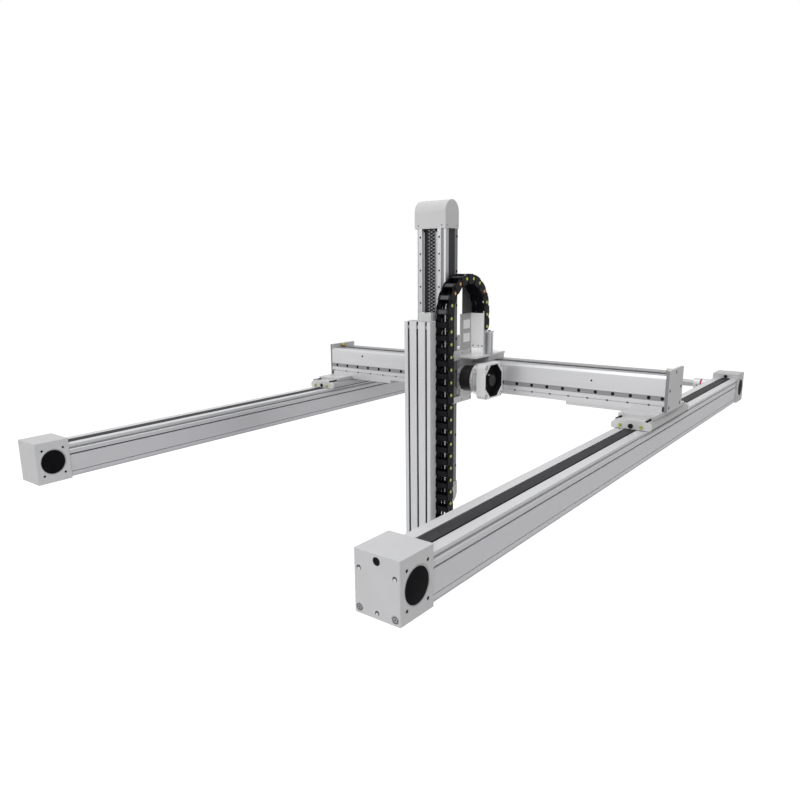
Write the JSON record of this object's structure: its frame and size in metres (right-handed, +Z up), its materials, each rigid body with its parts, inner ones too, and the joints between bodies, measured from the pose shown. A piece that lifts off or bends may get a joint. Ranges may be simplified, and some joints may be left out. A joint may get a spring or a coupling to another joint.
{
  "type": "gantry robot",
  "caption": "Gantry robot: a crossbeam rides on two long belt modules and carries a telescopic vertical axis with an energy chain, a rack drive and an open motor flange.",
  "frame": {"origin": "centre of the four base bolt holes, at the underside of the end blocks", "axes": "+X along the crossbeam, +Y along the long modules towards the cross shaft, +Z up"},
  "size_m": [1.54, 2.64, 1.327],
  "materials": {
    "anodised_profile": "satin anodised extrusion",
    "block_paint": "fine bead-blasted light grey",
    "belt_black": "matte black polyurethane",
    "black_plastic": "matte black moulded",
    "rail_steel": "ground steel",
    "plate_aluminium": "milled and bead-blasted",
    "cap_grey": "light grey moulded",
    "dark_steel": "blackened steel",
    "bright_steel": "turned steel",
    "brass": "turned brass",
    "nipple_yellow": "yellow passivated",
    "spider_magenta": "elastic polyurethane"
  },
  "bodies": {
    "frame": {"rail_profiles": "anodised_profile", "front_blocks": "block_paint", "rear_blocks": "block_paint", "module_belts": "belt_black", "module_rails": "rail_steel", "bearing_covers": "black_plastic"},
    "left_front_pulley": {"left_front_pulley": "bright_steel"},
    "right_front_pulley": {"right_front_pulley": "bright_steel"},
    "cross_shaft": {"rear_pulleys": "bright_steel", "cross_shaft_tube": "plate_aluminium", "coupling_hubs": "plate_aluminium", "coupling_spiders": "spider_magenta"},
    "gantry": {"module_sliders": "plate_aluminium", "slider_caps": "cap_grey", "module_wagons": "rail_steel", "grease_nipples": "nipple_yellow", "mount_plates": "plate_aluminium", "crossbeam": "anodised_profile", "beam_end_plates": "plate_aluminium", "x_drive_belt": "belt_black", "x_rails": "rail_steel", "end_bumpers": "brass"},
    "x_left_pulley": {"x_left_pulley": "bright_steel"},
    "x_right_pulley": {"x_right_pulley": "bright_steel"},
    "x_carriage": {"x_slider": "plate_aluminium", "x_wagons": "rail_steel", "z_mount_plate": "plate_aluminium", "z_back_plate": "plate_aluminium", "drive_housing": "plate_aluminium", "column_wagons": "dark_steel", "guide_bracket": "plate_aluminium", "gearbox_flange": "plate_aluminium", "gear_ring": "dark_steel", "gearbox_body": "bright_steel", "motor_flange": "plate_aluminium", "chain_post": "plate_aluminium", "chain_fixed_run": "black_plastic"},
    "z_pinion": {"z_pinion": "dark_steel"},
    "input_hub": {"input_hub": "dark_steel"},
    "z_column": {"column_profile": "anodised_profile", "column_side_bands": "black_plastic", "column_rails": "rail_steel", "z_rack": "dark_steel", "column_top_cap": "cap_grey", "column_bottom_cap": "cap_grey", "lift_chain": "dark_steel", "chain_loop": "black_plastic"},
    "top_sprocket": {"top_sprocket": "dark_steel"},
    "bottom_sprocket": {"bottom_sprocket": "dark_steel"},
    "z_arm": {"arm_profile": "anodised_profile", "arm_slider": "plate_aluminium", "arm_wagons": "dark_steel", "tool_plate": "plate_aluminium", "chain_arm_run": "black_plastic", "chain_arm_bracket": "plate_aluminium"}
  },
  "joints": [
    {"name": "y_slide", "type": "slide", "parent": "frame", "child": "gantry", "axis": [0, 1, 0], "range_m": [-1.18, 0.79]},
    {"name": "cross_shaft_turn", "type": "hinge", "parent": "frame", "child": "cross_shaft", "pos_m": [0, 1.267, 0.065], "axis": [1, 0, 0], "range_deg": [-1664, 1664]},
    {"name": "left_pulley_turn", "type": "hinge", "parent": "frame", "child": "left_front_pulley", "pos_m": [-0.7, -1.267, 0.065], "axis": [1, 0, 0], "range_deg": [-1664, 1664]},
    {"name": "right_pulley_turn", "type": "hinge", "parent": "frame", "child": "right_front_pulley", "pos_m": [0.7, -1.267, 0.065], "axis": [1, 0, 0], "range_deg": [-1664, 1664]},
    {"name": "x_slide", "type": "slide", "parent": "gantry", "child": "x_carriage", "axis": [1, 0, 0], "range_m": [-0.48, 0.47]},
    {"name": "x_left_pulley_turn", "type": "hinge", "parent": "gantry", "child": "x_left_pulley", "pos_m": [-0.718, 0.193, 0.2305], "axis": [0, 1, 0], "range_deg": [-779, 779]},
    {"name": "x_right_pulley_turn", "type": "hinge", "parent": "gantry", "child": "x_right_pulley", "pos_m": [0.718, 0.193, 0.2305], "axis": [0, 1, 0], "range_deg": [-779, 779]},
    {"name": "z_slide", "type": "slide", "parent": "x_carriage", "child": "z_column", "axis": [0, 0, 1], "range_m": [-0.035, 0.28], "deforming": ["chain_fixed_run"]},
    {"name": "pinion_turn", "type": "hinge", "parent": "x_carriage", "child": "z_pinion", "pos_m": [-0.06, 0.05003, 0.21], "axis": [1, 0, 0], "range_deg": [-657, 657]},
    {"name": "input_turn", "type": "hinge", "parent": "x_carriage", "child": "input_hub", "pos_m": [0.13, 0.05003, 0.21], "axis": [1, 0, 0], "range_deg": [-3224, 3224]},
    {"name": "arm_slide", "type": "slide", "parent": "z_column", "child": "z_arm", "axis": [0, 0, 1], "range_m": [-0.035, 0.28], "deforming": ["chain_arm_run"]},
    {"name": "top_sprocket_turn", "type": "hinge", "parent": "z_column", "child": "top_sprocket", "pos_m": [-0.06, -0.02915, 0.831], "axis": [1, 0, 0], "range_deg": [-473, 473]},
    {"name": "bottom_sprocket_turn", "type": "hinge", "parent": "z_column", "child": "bottom_sprocket", "pos_m": [-0.06, -0.02915, -0.247], "axis": [1, 0, 0], "range_deg": [-473, 473]}
  ],
  "couplings": [
    {"joint": "cross_shaft_turn", "follows": "y_slide", "rad_per_m": -24.39},
    {"joint": "left_pulley_turn", "follows": "y_slide", "rad_per_m": -24.39},
    {"joint": "right_pulley_turn", "follows": "y_slide", "rad_per_m": -24.39},
    {"joint": "x_left_pulley_turn", "follows": "x_slide", "rad_per_m": 27.778},
    {"joint": "x_right_pulley_turn", "follows": "x_slide", "rad_per_m": 27.778},
    {"joint": "pinion_turn", "follows": "z_slide", "rad_per_m": -40},
    {"joint": "input_turn", "follows": "z_slide", "rad_per_m": -200},
    {"joint": "arm_slide", "follows": "z_slide", "ratio": 1},
    {"joint": "top_sprocket_turn", "follows": "z_slide", "rad_per_m": -28.571},
    {"joint": "bottom_sprocket_turn", "follows": "z_slide", "rad_per_m": -28.571}
  ]
}
